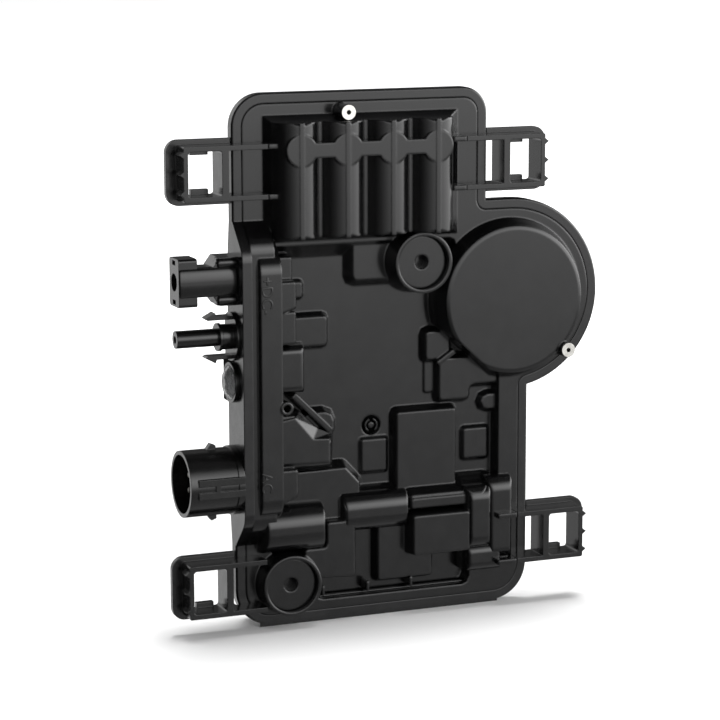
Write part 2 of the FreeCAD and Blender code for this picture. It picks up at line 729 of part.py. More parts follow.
def pocket_outline(depth):
    """Outline of the relief's sunk pocket, which widens from its floor to the flange."""
    r = POCKET_CORNER
    share = 1 - depth / POCKET_DEPTH
    wide = POCKET_DRAFT * share
    top = HUMP_LOW - POCKET_TOP_MARGIN + POCKET_TOP_DRAFT * share
    left_x, low_x, left_z = POCKET_LOW_LEFT
    step_x, step_z = POCKET_LOW_RIGHT
    neck_x, neck_low, neck_high = POCKET_UPPER_RIGHT
    bottom = POCKET_BOTTOM - wide
    return [
        (FORM_LEFT, left_z - wide, r), (left_x - wide, left_z - wide, r), (low_x - wide, bottom, r),
        (step_x + wide, bottom, r), (step_x + wide, step_z - wide, r), (POCKET_RIGHT + wide, step_z - wide, r),
        (POCKET_RIGHT + wide, neck_low, r), (neck_x + wide, neck_high, r),
        (neck_x + wide, top, r), (FORM_LEFT, top, r),
    ]


def front_housing():
    """Relief cover: a plate in the rim, with a sunk floor and hollow forms over the components."""
    plate = flange_plate(RIM_WIDTH + SEAM, 0, COVER_WALL)
    window = box(BODY_LEFT, FORM_LEFT, -1, COVER_WALL + 1, BULKHEAD_LOW, BULKHEAD_HIGH)
    plate = plate.cut(window)
    seat = raised_band(LIP_X + SEAM, FORM_LEFT, SEAT_RISE, 0, COVER_WALL)
    ridge = raised_band(RIDGE_LEFT, RIDGE_RIGHT, BULKHEAD_RISE, 0, FLOOR_BACK, "flat", RIDGE_SETBACK)
    hollow_left = min(RIDGE_LEFT + COVER_WALL, CAVITY_X + LEDGE_CLEARANCE - SEAM)
    ridge_hollow = raised_band(hollow_left, FORM_LEFT, BULKHEAD_RISE, COVER_WALL, FLOOR_BACK + 1,
                               "flat", RIDGE_SETBACK)
    floor = pocket_outline(POCKET_DEPTH)
    mouth = pocket_outline(0)
    tub = prism(grown(mouth, COVER_WALL), 0, FLOOR_BACK)
    shell = plate.multiFuse([seat, tub])
    shell = shell.cut(stack([(mouth, -BULKHEAD_RISE), (mouth, 0), (floor, POCKET_DEPTH)]))
    shell = shell.cut(floor_recess())
    forms = relief_forms()
    outers = [build(0) for build in forms.values()]
    hollows = [build(COVER_WALL) for build in forms.values()]
    ribs = [slanted_rib(*SURGE_RIB), slanted_rib(*DOME_RIB)]
    shell = shell.multiFuse(outers + crown_details() + ribs + rail_stubs() + [ridge, cable_ring()])
    shell = shell.cut(hollows[0].multiFuse(hollows[1:] + [ridge_hollow]))
    shell = shell.cut(ledge_room())
    shell = shell.multiFuse([post(*UPPER_POST), post(*RIGHT_POST)])
    return shell.cut(sockets()).removeSplitter()


def floor_recess():
    """Shallow round recess in the pocket floor, with a nub in the middle."""
    x, z = FLOOR_RECESS
    ring = Part.makeCylinder(FLOOR_RECESS_RADIUS, 2 * FLOOR_RECESS_DEPTH,
                             at(x, z, FLOOR_RECESS_DEPTH - POCKET_DEPTH), Vector(0, 1, 0))
    return ring.cut(Part.makeCylinder(FLOOR_NUB_RADIUS, 2 * FLOOR_RECESS_DEPTH,
                                      at(x, z, FLOOR_RECESS_DEPTH - POCKET_DEPTH), Vector(0, 1, 0)))


def rail_stubs():
    """Short ribs that carry on the rails of the tabs across the cover."""
    stubs = []
    for edge_x, side, middle_z, rail_end, stub_end in TAB_PLACES.values():
        x0, x1 = sorted((rail_end - side * TAB_GAP, stub_end))
        if stub_end == rail_end:
            continue
        for z0 in (middle_z - TAB_HEIGHT / 2, middle_z + TAB_HEIGHT / 2 - TAB_WALL):
            stubs.append(box(x0, x1, -TAB_RISE, FLOOR_BACK, z0, z0 + TAB_WALL))
    return stubs


def ledge_room():
    """Space behind the cover's edge that the rear shell and its seal fill."""
    deep = FLOOR_BACK + 1
    room = flange_plate(0, COVER_WALL, deep)
    room = room.fuse(raised_band(BODY_LEFT, CAVITY_X + LEDGE_CLEARANCE, SEAT_RISE, COVER_WALL, deep, "flat"))
    return room.cut(flange_plate(CAVITY_INSET + LEDGE_CLEARANCE, -BULKHEAD_RISE, deep))


def crown_details():
    """Flat discs, link bars and ribs on the capacitor humps."""
    details = []
    first, last = hump_x(0), hump_x(HUMP_COUNT - 1)
    axis_rise = HUMP_CROWN - HUMP_RADIUS
    for index in range(HUMP_COUNT):
        middle = hump_x(index)
        details.append(Part.makeCylinder(DISC_RADIUS, HUMP_RADIUS / 2, at(middle, DISC_Z, HUMP_CROWN),
                                         Vector(0, 1, 0)))
        details.append(box(middle - CROWN_STRIP_WIDTH / 2, middle + CROWN_STRIP_WIDTH / 2,
                           -HUMP_CROWN - CROWN_STRIP_RISE, -HUMP_CROWN + 1, HUMP_LOW, HUMP_HIGH))
    details.append(box(first, last, -HUMP_CROWN, -HUMP_CROWN + HUMP_RADIUS / 2,
                       DISC_Z - LINK_HEIGHT / 2, DISC_Z + LINK_HEIGHT / 2))
    for index in range(HUMP_COUNT - 1):
        middle = (hump_x(index) + hump_x(index + 1)) / 2
        details.append(box(middle - VALLEY_RIB_WIDTH / 2, middle + VALLEY_RIB_WIDTH / 2,
                           -VALLEY_RIB_RISE, -axis_rise + COVER_WALL, HUMP_LOW, HUMP_HIGH))
    return details


def post(x, z):
    """Round post that stands on the flange."""
    return Part.makeCylinder(POST_RADIUS, POST_RISE, at(x, z, POST_RISE), Vector(0, 1, 0))


def cable_ring():
    """Short tube beside the ridge."""
    place = at(*CABLE_RING, CABLE_RING_RISE)
    outer = Part.makeCylinder(CABLE_RING_RADIUS, CABLE_RING_RISE + FLOOR_BACK, place, Vector(0, 1, 0))
    return outer.cut(Part.makeCylinder(CABLE_RING_BORE, CABLE_RING_RISE, place, Vector(0, 1, 0)))


def sockets():
    """Recesses in the two bosses for the plugs, and in the two posts for the sleeves."""
    cutters = []
    for x, z in (UPPER_BOSS, LOWER_BOSS):
        cutters.append(Part.makeCylinder(BOSS_RADIUS - BOSS_RIM, PLUG_DROP + PLUG_THICKNESS,
                                         at(x, z, BOSS_RISE), Vector(0, 1, 0)))
    for x, z in (UPPER_POST, RIGHT_POST):
        cutters.append(Part.makeCylinder(SHANK_RADIUS + SLEEVE_CLEARANCE, SLEEVE_LENGTH,
                                         at(x, z, POST_RISE), Vector(0, 1, 0)))
    return cutters[0].multiFuse(cutters[1:])


def boss_plug(x, z):
    """Flat round plug with a screw bore, below the rim of its boss."""
    radius = BOSS_RADIUS - BOSS_RIM - PLUG_CLEARANCE
    rise = BOSS_RISE - PLUG_DROP
    plug = Part.makeCylinder(radius, PLUG_THICKNESS, at(x, z, rise), Vector(0, 1, 0))
    bore = Part.makeCylinder(PLUG_BORE_RADIUS, PLUG_THICKNESS, at(x, z, rise), Vector(0, 1, 0))
    return plug.cut(bore)


def post_sleeve(x, z):
    """Turned metal sleeve: a ring on the end of the post, with a shank in its socket."""
    head = Part.makeCylinder(SLEEVE_RADIUS, SLEEVE_RISE, at(x, z, POST_RISE + SLEEVE_RISE), Vector(0, 1, 0))
    shank = Part.makeCylinder(SHANK_RADIUS, SLEEVE_LENGTH - 0.5, at(x, z, POST_RISE), Vector(0, 1, 0))
    bore = Part.makeCylinder(SLEEVE_BORE_RADIUS, SLEEVE_LENGTH, at(x, z, POST_RISE + SLEEVE_RISE),
                             Vector(0, 1, 0))
    return head.fuse(shank).cut(bore)


# Rear shell and seal

def rear_housing():
    """Tray with a wide rim, a raised wall for the connectors and a foot."""
    flange = chamfered(flange_plate(0, 0, FLANGE_THICKNESS), FLANGE_EDGE, flat_at(0))
    tray = chamfered(flange_plate(SHELL_INSET, 0, SHELL_DEPTH), SHELL_EDGE, flat_at(SHELL_DEPTH))
    foot_corners = [
        (FOOT_LEFT, FOOT_FRONT, 0.0),
        (FOOT_RIGHT, FOOT_FRONT, 0.0),
        (FOOT_RIGHT - FOOT_END_TAPER, SHELL_DEPTH, 0.0),
        (FOOT_LEFT + FOOT_END_TAPER, SHELL_DEPTH, 0.0),
    ]
    foot_wire = loop_wire(foot_corners, lambda x, y: Vector(x, y, 0))
    foot = Part.Face(foot_wire).extrude(Vector(0, 0, FOOT_HEIGHT))
    shell = flange.multiFuse([tray, foot])
    shell = shell.cut(flange_plate(RIM_WIDTH, -1, LEDGE_Y))
    wall = raised_band(BODY_LEFT, CAVITY_X, SEAT_RISE, LEDGE_Y, BULKHEAD_BACK, "tapers")
    lip = raised_band(BODY_LEFT, LIP_X, BULKHEAD_RISE, 0, BULKHEAD_BACK, "tapers")
    ac_boss = rod_x(BODY_LEFT, CAVITY_X, CONNECTOR_Y, AC_Z, AC_RADIUS)
    behind = box(BODY_LEFT, CAVITY_X, BULKHEAD_BACK - 1, SHELL_DEPTH, AC_Z - AC_RADIUS, AC_Z + AC_RADIUS)
    shell = shell.multiFuse([wall, lip, ac_boss.common(behind)])
    shell = shell.cut(flange_plate(CAVITY_INSET, -1, CAVITY_BACK))
    bores = [(z, ROOT_RADIUS) for z in (DC_POSITIVE_Z, DC_NEGATIVE_Z, AC_Z)]
    bores.append((INDICATOR_Z, LIGHT_PIPE_RADIUS))
    for z, radius in bores:
        shell = shell.cut(rod_x(BODY_LEFT - 1, CAVITY_X + 1, CONNECTOR_Y, z, radius + ROOT_CLEARANCE))
    lens_seat = rod_x(BODY_LEFT - 1, BODY_LEFT + BEZEL_DEPTH, CONNECTOR_Y, INDICATOR_Z,
                      LENS_RADIUS + ROOT_CLEARANCE)
    return shell.cut(lens_seat).removeSplitter()


def housing_gasket():
    """Rubber ring under the cover's edge, which climbs with the bulkhead."""
    outer = flange_plate(GASKET_INSET, COVER_WALL, LEDGE_Y)
    inner = flange_plate(GASKET_INSET + GASKET_WIDTH, COVER_WALL - 1, LEDGE_Y + 1)
    x0 = BODY_LEFT + GASKET_INSET
    x1 = x0 + GASKET_WIDTH
    window = box(x0 - 1, x1 + 1, COVER_WALL - 1, LEDGE_Y + 1, BULKHEAD_LOW, BULKHEAD_HIGH)
    climb = raised_band(x0, x1, SEAT_RISE, COVER_WALL, LEDGE_Y)
    return outer.cut(inner).cut(window).fuse(climb).removeSplitter()


# Connectors

def ends_at(x):
    """Test for an edge that lies in the plane at x."""
    return lambda edge: all(abs(vertex.Point.x - x) < 1e-4 for vertex in edge.Vertexes)


def contact_tail(y, z):
    """Strip from the end of a contact down to the board."""
    return box(TAIL_END - TAIL_THICKNESS, TAIL_END, y, BOARD_FRONT, z - TAIL_WIDTH / 2, z + TAIL_WIDTH / 2)


def dc_positive_connector():
    """Socket connector: a round-cornered barrel with two pairs of slotted wings."""
    end = BODY_LEFT - DC_LENGTH
    half = DC_BARREL_HALF
    y, z = CONNECTOR_Y, DC_POSITIVE_Z

    def bar_x(deep, tall, radius, start, length):
        corners = [(-deep, -tall, radius), (deep, -tall, radius), (deep, tall, radius), (-deep, tall, radius)]
        wire = loop_wire(corners, lambda a, b: Vector(start, y + a, z + b))
        return Part.Face(wire).extrude(Vector(length, 0, 0))

    neck_start = end + DC_HEAD_LENGTH
    neck_end = neck_start + DC_NECK_LENGTH
    body = bar_x(half, half, 2.5, end, DC_LENGTH)
    head = bar_x(half, DC_WING_HALF, 1.2, end, DC_HEAD_LENGTH)
    outline = []
    for x, height in ((neck_end, -half), (neck_end + DC_WING_CHAMFER, -DC_WING_HALF), (BODY_LEFT, -DC_WING_HALF),
                      (BODY_LEFT, DC_WING_HALF), (neck_end + DC_WING_CHAMFER, DC_WING_HALF), (neck_end, half)):
        outline.append(Vector(x, y - half, z + height))
    tail = Part.Face(Part.makePolygon(outline + outline[:1])).extrude(Vector(0, 2 * half, 0))
    root = rod_x(BODY_LEFT - 1, ROOT_END, y, z, ROOT_RADIUS)
    body = body.multiFuse([head, tail, root])
    body = body.cut(rod_x(end - 1, CAVITY_X, y, z, DC_BORE_RADIUS))
    for side in (-1, 1):
        slot_z = z + side * (half + DC_WING_HALF) / 2
        deep = DC_SLOT_DEPTH / 2
        wide = DC_SLOT_WIDTH / 2
        body = body.cut(box(end - 1, neck_start + 1, y - deep, y + deep, slot_z - wide, slot_z + wide))
        body = body.cut(box(neck_end, BODY_LEFT, y - half - 1, y - half + wide, slot_z - wide / 2, slot_z + wide / 2))
    return body.cut(rod_x(BODY_LEFT, ROOT_END + 1, y, z, CONTACT_RADIUS)).removeSplitter()


def dc_positive_contact():
    """Metal socket sleeve inside the positive connector, with its tail to the board."""
    y, z = CONNECTOR_Y, DC_POSITIVE_Z
    start = BODY_LEFT - DC_LENGTH + 3
    sleeve = rod_x(start, CAVITY_X, y, z, CONTACT_RADIUS + CONTACT_WALL)
    sleeve = sleeve.cut(rod_x(start - 1, BODY_LEFT, y, z, CONTACT_RADIUS))
    stem = rod_x(CAVITY_X, TAIL_END, y, z, CONTACT_RADIUS)
    return sleeve.multiFuse([stem, contact_tail(y, z)]).removeSplitter()


def dc_negative_connector():
    """Plug connector: a stepped round tube with two barbed latch arms."""
    end = BODY_LEFT - DC_LENGTH
    y, z = CONNECTOR_Y, DC_NEGATIVE_Z
    tube = rod_x(end, BODY_LEFT, y, z, DC_PLUG_RADIUS)
    collar_start = BODY_LEFT - DC_COLLAR_LENGTH
    collar = rod_x(collar_start, BODY_LEFT, y, z, DC_COLLAR_RADIUS)
    ring = rod_x(collar_start, collar_start + DC_COLLAR_RING_WIDTH, y, z, DC_COLLAR_RADIUS + DC_COLLAR_RING)
    root = rod_x(BODY_LEFT - 1, ROOT_END, y, z, ROOT_RADIUS)
    base = rod_x(BODY_LEFT - LATCH_BASE_THICKNESS, BODY_LEFT, y, z, LATCH_BASE_RADIUS)
    base = base.cut(box(BODY_LEFT - DC_LENGTH, BODY_LEFT, BULKHEAD_BACK, SHELL_DEPTH, 0, BODY_TOP))
    arms = []
    for side in (-1, 1):
        near = z + side * LATCH_SPACING
        far = near + side * LATCH_THICKNESS
        tip = far + side * LATCH_BARB
        start = BODY_LEFT - LATCH_LENGTH
        points = [(BODY_LEFT, near), (start + 1, near), (start, (near + far) / 2),
                  (start + 4, tip), (start + 4.6, far), (BODY_LEFT, far)]
        outline = [Vector(x, y - LATCH_WIDTH / 2, height) for x, height in points]
        arms.append(Part.Face(Part.makePolygon(outline + outline[:1])).extrude(Vector(0, LATCH_WIDTH, 0)))
    body = tube.multiFuse([collar, ring, root, base] + arms)
    return body.cut(rod_x(end - 1, ROOT_END + 1, y, z, DC_PLUG_BORE_RADIUS)).removeSplitter()


def dc_negative_contact():
    """Metal pin down the middle of the negative connector, with its tail to the board."""
    y, z = CONNECTOR_Y, DC_NEGATIVE_Z
    pin = rod_x(BODY_LEFT - DC_LENGTH + 4, TAIL_END, y, z, DC_PLUG_BORE_RADIUS)
    return pin.fuse(contact_tail(y, z)).removeSplitter()


def root_seal(z):
    """Rubber ring round a connector's root, against the inside of the shell's wall."""
    ring = rod_x(CAVITY_X, CAVITY_X + SEAL_THICKNESS, CONNECTOR_Y, z, SEAL_RADIUS)
    return ring.cut(rod_x(CAVITY_X - 1, CAVITY_X + SEAL_THICKNESS + 1, CONNECTOR_Y, z, ROOT_RADIUS))


def ac_connector_shell():
    """Round shroud with a collar, two lugs and a raised fork pattern on its front."""
    end = BODY_LEFT - AC_LENGTH
    floor_x = BODY_LEFT - AC_COLLAR_LENGTH
    y, z = CONNECTOR_Y, AC_Z
    tube = rod_x(end, BODY_LEFT, y, z, AC_RADIUS)
    collar = rod_x(floor_x, BODY_LEFT, y, z, AC_RADIUS + AC_COLLAR_EXTRA)
    start = end + 0.45 * AC_LENGTH
    lugs = []
    for side in (-1, 1):
        base = z + side * (AC_RADIUS - 0.5)
        top = z + side * (AC_RADIUS + AC_LUG_HEIGHT)
        points = [(start, base), (start + 2.0, top), (start + AC_LUG_LENGTH, top - side * 0.8),
                  (start + AC_LUG_LENGTH, base)]
        outline = [Vector(x, y - 1.5, height) for x, height in points]
        lugs.append(Part.Face(Part.makePolygon(outline + outline[:1])).extrude(Vector(0, 3.0, 0)))
    face_y = y - AC_RADIUS - AC_COLLAR_EXTRA
    inner_y = y - AC_RADIUS + 1.5
    fork = [box(end + 3.0, BODY_LEFT, face_y, inner_y, z + low, z + low + 2.7) for low in (1.2, -3.9)]
    fork.append(box(start, start + 2.0, face_y, inner_y, z - 2.0, z + 2.0))
    body = tube.multiFuse([collar] + lugs + fork)
    body = body.cut(rod_x(end - 1, floor_x, y, z, AC_RADIUS - AC_WALL))
    return body.cut(rod_x(floor_x - 1, BODY_LEFT + 1, y, z, ROOT_RADIUS + ROOT_CLEARANCE)).removeSplitter()


def ac_pin_places():
    """Middles of the contact pins (y, z), evenly round the insert."""
    places = []
    for index in range(AC_PIN_COUNT):
        angle = math.radians(AC_PIN_TURN + index * 360 / AC_PIN_COUNT)
        places.append((CONNECTOR_Y + AC_PIN_CIRCLE * math.cos(angle), AC_Z + AC_PIN_CIRCLE * math.sin(angle)))
    return places


def ac_connector_insert():
    """Insulating insert that holds the contact pins, with a neck through the wall."""
    start = BODY_LEFT - AC_INSERT_LENGTH
    insert = rod_x(start, BODY_LEFT - AC_COLLAR_LENGTH, CONNECTOR_Y, AC_Z, AC_INSERT_RADIUS)
    insert = chamfered(insert, 0.6, ends_at(start))
    insert = insert.fuse(rod_x(start + 2, ROOT_END, CONNECTOR_Y, AC_Z, ROOT_RADIUS))
    for y, z in ac_pin_places():
        insert = insert.cut(rod_x(start - 1, ROOT_END + 1, y, z, AC_PIN_RADIUS))
    return insert.removeSplitter()


def ac_contact_pins():
    """Contact pins with their tails to the board, a group of like solids."""
    start = BODY_LEFT - AC_INSERT_LENGTH - AC_PIN_TIP
    pins = []
    for y, z in ac_pin_places():
        pin = rod_x(start, TAIL_END, y, z, AC_PIN_RADIUS)
        pin = chamfered(pin, 0.4, ends_at(start))
        pins.append(pin.fuse(contact_tail(y, z)).removeSplitter())
    return Part.makeCompound(pins)


def indicator_bezel():
    """Black ring round the indicator window."""
    ring = rod_x(BODY_LEFT - BEZEL_DEPTH, BODY_LEFT, CONNECTOR_Y, INDICATOR_Z, BEZEL_RADIUS)
    return ring.cut(rod_x(BODY_LEFT - BEZEL_DEPTH - 1, BODY_LEFT + 1, CONNECTOR_Y, INDICATOR_Z,
                          LENS_RADIUS + ROOT_CLEARANCE))


def indicator_lens():
    """Clear domed window over the end of the light pipe."""
    rim_x = BODY_LEFT - BEZEL_DEPTH
    drum = rod_x(rim_x, BODY_LEFT + BEZEL_DEPTH, CONNECTOR_Y, INDICATOR_Z, LENS_RADIUS)
    way = Vector(-1, 0, 0)
    crown = LENS_DOME / 3
    side = Part.makeCone(LENS_RADIUS, 0.72 * LENS_RADIUS, 2 * crown, Vector(rim_x, CONNECTOR_Y, INDICATOR_Z), way)
    tip = Part.makeCone(0.72 * LENS_RADIUS, 0.3 * LENS_RADIUS, crown,
                        Vector(rim_x - 2 * crown, CONNECTOR_Y, INDICATOR_Z), way)
    return drum.multiFuse([side, tip]).removeSplitter()


def light_pipe():
    """Clear rod from the window through the wall to the lamp."""
    return rod_x(BODY_LEFT + BEZEL_DEPTH, TAIL_END - LAMP_SIZE, CONNECTOR_Y, INDICATOR_Z, LIGHT_PIPE_RADIUS)


def status_lamp():
    """Lamp on the board at the end of the light pipe."""
    half = LAMP_SIZE / 2
    return box(TAIL_END - LAMP_SIZE, TAIL_END, CONNECTOR_Y - half, BOARD_FRONT, INDICATOR_Z - half,
               INDICATOR_Z + half)


# Mounting tabs

def mounting_tab(edge_x, side, middle_z, rail_end, stub_end):
    """Clip-on tab: two deep rails over the flange, a cross bar, an end wall and a rim round them.

    side is -1 on the left edge and 1 on the right. rail_end is where its rails stop on the cover,
    whose own ribs carry them on to stub_end.
    """
    def span(u0, u1):
        a, b = edge_x + side * u0, edge_x + side * u1
        return min(a, b), max(a, b)

    low = middle_z - TAB_HEIGHT / 2
    high = middle_z + TAB_HEIGHT / 2
    rim_back = TAB_RIM_FRONT + TAB_RIM_THICKNESS
    gap = TAB_GAP
    rim_x = span(gap, TAB_RIM_REACH)
    rim = prism(rect(rim_x[0], rim_x[1], low - TAB_RIM_MARGIN, high + TAB_RIM_MARGIN, TAB_RIM_RADIUS),
                TAB_RIM_FRONT, rim_back)
    square = span(gap, TAB_RIM_RADIUS + gap)
    rim = rim.fuse(box(square[0], square[1], TAB_RIM_FRONT, rim_back, low - TAB_RIM_MARGIN,
                       high + TAB_RIM_MARGIN))
    frame_x = span(gap, TAB_REACH)
    frame = prism(rect(frame_x[0], frame_x[1], low, high, 0.8), -TAB_RISE, rim_back)
    rails = []
    rail_x = sorted((rail_end, edge_x + side * (gap + 1)))
    for z0 in (low, high - TAB_WALL):
        rails.append(box(rail_x[0], rail_x[1], -TAB_RISE, 0, z0, z0 + TAB_WALL))
    teeth = []
    for offset in (-TAB_TOOTH_SPACING, 0, TAB_TOOTH_SPACING):
        reach = edge_x + side * (TAB_REACH + TAB_TOOTH_RADIUS)
        root = edge_x + side * (TAB_REACH - 0.5)
        outline = [Vector(root, -TAB_RISE, middle_z + offset - TAB_TOOTH_RADIUS),
                   Vector(reach, -TAB_RISE, middle_z + offset),
                   Vector(root, -TAB_RISE, middle_z + offset + TAB_TOOTH_RADIUS)]
        tooth = Part.Face(Part.makePolygon(outline + outline[:1]))
        teeth.append(tooth.extrude(Vector(0, TAB_RISE * 0.7, 0)))
    tab = frame.multiFuse([rim] + rails + teeth)
    window_x = span(TAB_BAR_OUTER, TAB_WINDOW_END)
    tab = tab.cut(prism(rect(window_x[0], window_x[1], low + TAB_WALL, high - TAB_WALL, 1.2),
                        -TAB_RISE - 1, rim_back + 1))
    slot_x = span(-1, TAB_BAR_INNER)
    tab = tab.cut(box(slot_x[0], slot_x[1], -TAB_RISE - 1, rim_back + 1, low + TAB_WALL, high - TAB_WALL))
    nib_x = span(TAB_NIB_START, TAB_NIB_START + TAB_NIB_LENGTH)
    nibs = []
    for z0 in (low + TAB_WALL - 0.5, high - TAB_WALL - TAB_NIB_HEIGHT + 0.5):
        nibs.append(box(nib_x[0], nib_x[1], rim_back - TAB_NIB_DEPTH, rim_back, z0, z0 + TAB_NIB_HEIGHT))
    return tab.multiFuse(nibs).removeSplitter()


TAB_PLACES = {
    "mounting_tab_upper_left": (BODY_LEFT, -1, UPPER_TAB_Z, HUMPS_LEFT - HUMP_BASE_MARGIN - 0.6,
                                HUMPS_LEFT + 1.7),
    "mounting_tab_upper_right": (UPPER_RIGHT, 1, UPPER_TAB_Z, HUMPS_RIGHT + HUMP_BASE_RIGHT_MARGIN + 0.6,
                                 HUMPS_RIGHT - 0.5),
    "mounting_tab_lower_right": (LOWER_RIGHT, 1, LOWER_RIGHT_TAB_Z, CHOKE_END[1] + 0.8, CHOKE_END[0] + 2.0),
    "mounting_tab_lower_left": (BODY_LEFT, -1, LOWER_LEFT_TAB_Z, LOWER_BOSS[0] - BOSS_FOOT_RADIUS + 2.6,
                                LOWER_BOSS[0] - BOSS_FOOT_RADIUS + 2.6),
}


# Inside

def circuit_board():
    """Printed circuit board across the rear shell."""
    return flange_plate(BOARD_INSET, BOARD_FRONT, BOARD_BACK)


def potting_compound():
    """Resin between the board and the heat spreader."""
    return flange_plate(BOARD_INSET, BOARD_BACK, SPREADER_FRONT)


def heat_spreader():
    """Aluminium plate on the back wall."""
    return flange_plate(BOARD_INSET, SPREADER_FRONT, CAVITY_BACK)


def input_capacitor(index):
    """Can capacitor lying in its hump, with two leads to the board."""
    radius = HUMP_RADIUS - COVER_WALL - CAPACITOR_CLEARANCE
    middle = hump_x(index)
    axis_y = HUMP_RADIUS - HUMP_CROWN
    low = HUMP_LOW + COVER_WALL + PART_CLEARANCE
    high = HUMP_HIGH - COVER_WALL - PART_CLEARANCE
    can = Part.makeCylinder(radius, high - low, Vector(middle, axis_y, low), Vector(0, 0, 1))
    leads = []
    for side in (-1, 1):
        x = middle + side * radius / 2
        leads.append(box(x - LEAD_RADIUS, x + LEAD_RADIUS, axis_y, BOARD_FRONT, low + 4 - LEAD_RADIUS,
                         low + 4 + LEAD_RADIUS))
    return can.multiFuse(leads).removeSplitter()


def inner_block(x0, x1, z0, z1, rise):
    """Component that fills the hollow of a relief form, standing on the board."""
    room = COVER_WALL + PART_CLEARANCE
    return box(x0 + room, x1 - room, -(rise - room), BOARD_FRONT, z0 + room, z1 - room)


def inner_barrel(x0, x1, z0, z1, rise, end_trim=0.0):
    """Wound component lying along X under a rounded form, on a block to the board."""
    room = COVER_WALL + PART_CLEARANCE
    radius = (z1 - z0) / 2 - room
    middle = (z0 + z1) / 2
    x0, x1 = x0 + end_trim, x1 - end_trim
    drum = rod_x(x0 + room, x1 - room, radius - (rise - room), middle, radius)
    saddle = box(x0 + room + 1, x1 - room - 1, radius - (rise - room), BOARD_FRONT,
                 middle - radius / 2, middle + radius / 2)
    return drum.fuse(saddle).removeSplitter()


def fitted_components():
    """Smaller components under their forms, each kept clear of its neighbour."""
    room = COVER_WALL + PART_CLEARANCE
    relay = (*RELAY[:3], CHOKE_MIDDLE[2] + room - PART_CLEARANCE, RELAY[4])
    capacitor = (FILTER_CAPACITOR[0], SWITCH_STAGE[0] + room - PART_CLEARANCE, *FILTER_CAPACITOR[2:])
    controller = (*CONTROLLER[:2], CHOKE_MIDDLE[3], *CONTROLLER[3:])
    trim = SURGE_END * END_TRIM
    surge = (SURGE_FILTER[0] + trim, SURGE_FILTER[1] - trim, *SURGE_FILTER[2:])
    return {
        "power_relay": inner_block(*relay),
        "filter_capacitor": inner_block(*capacitor),
        "switch_stage": inner_block(*SWITCH_STAGE),
        "controller_module": inner_block(*controller),
        "surge_filter": inner_block(*surge),
        "output_choke": inner_barrel(*CHOKE_LEFT, CHOKE_LEFT_END * END_TRIM),
        "line_choke": inner_barrel(*CHOKE_MIDDLE, CHOKE_MIDDLE_END * END_TRIM),
    }


def winding_radius():
    """Outer radius of the winding, inside the dome and its flat."""
    return min(DOME_RADIUS - DOME_DRAFT, DOME_FLAT) - COVER_WALL - PART_CLEARANCE


def core_ring():
    """Ring of the transformer core."""
    outer = winding_radius() - WINDING_THICKNESS
    front = at(DOME_X, DOME_Z, DOME_RISE - COVER_WALL - WINDING_THICKNESS - PART_CLEARANCE)
    ring = Part.makeCylinder(outer, CORE_HEIGHT, front, Vector(0, 1, 0))
    return ring.cut(Part.makeCylinder(outer - CORE_RING_WIDTH, CORE_HEIGHT, front, Vector(0, 1, 0)))


def transformer_winding():
    """Copper winding round the ring, with its inner and outer faces, down to the board."""
    inner = winding_radius() - CORE_RING_WIDTH - 2 * WINDING_THICKNESS
    front = at(DOME_X, DOME_Z, DOME_RISE - COVER_WALL - PART_CLEARANCE)
    height = BOARD_FRONT - front.y
    body = Part.makeCylinder(winding_radius(), height, front, Vector(0, 1, 0))
    body = body.cut(Part.makeCylinder(inner, height, front, Vector(0, 1, 0)))
    return body.cut(core_ring())


def nodes():
    """Every sub-part, by name."""
    parts = {
        "front_housing": front_housing(),
        "rear_housing": rear_housing(),
        "housing_gasket": housing_gasket(),
        "dc_positive_connector": dc_positive_connector(),
        "dc_positive_contact": dc_positive_contact(),
        "dc_positive_seal": root_seal(DC_POSITIVE_Z),
        "dc_negative_connector": dc_negative_connector(),
        "dc_negative_contact": dc_negative_contact(),
        "dc_negative_seal": root_seal(DC_NEGATIVE_Z),
        "ac_connector_shell": ac_connector_shell(),
        "ac_connector_insert": ac_connector_insert(),
        "ac_contact_pins": ac_contact_pins(),
        "ac_connector_seal": root_seal(AC_Z),
        "indicator_bezel": indicator_bezel(),
        "indicator_lens": indicator_lens(),
        "light_pipe": light_pipe(),
        "status_lamp": status_lamp(),
        "upper_boss_plug": boss_plug(*UPPER_BOSS),
        "lower_boss_plug": boss_plug(*LOWER_BOSS),
        "upper_post_sleeve": post_sleeve(*UPPER_POST),
        "right_post_sleeve": post_sleeve(*RIGHT_POST),
        "circuit_board": circuit_board(),
        "potting_compound": potting_compound(),
        "heat_spreader": heat_spreader(),
        "transformer_core": core_ring(),
        "transformer_winding": transformer_winding(),
    }
    for name, place in TAB_PLACES.items():
        parts[name] = mounting_tab(*place)
    for index in range(HUMP_COUNT):
        parts[f"input_capacitor_{index + 1}"] = input_capacitor(index)
    parts.update(fitted_components())
    return parts


os.makedirs("parts", exist_ok=True)
to_frame = Vector(0, -FOOT_MIDDLE, 0)
for name, shape in nodes().items():
    shape.translate(to_frame)
    shape.exportStep(os.path.join("parts", name + ".step"))
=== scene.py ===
import math

import bpy
from mathutils import Matrix, Vector


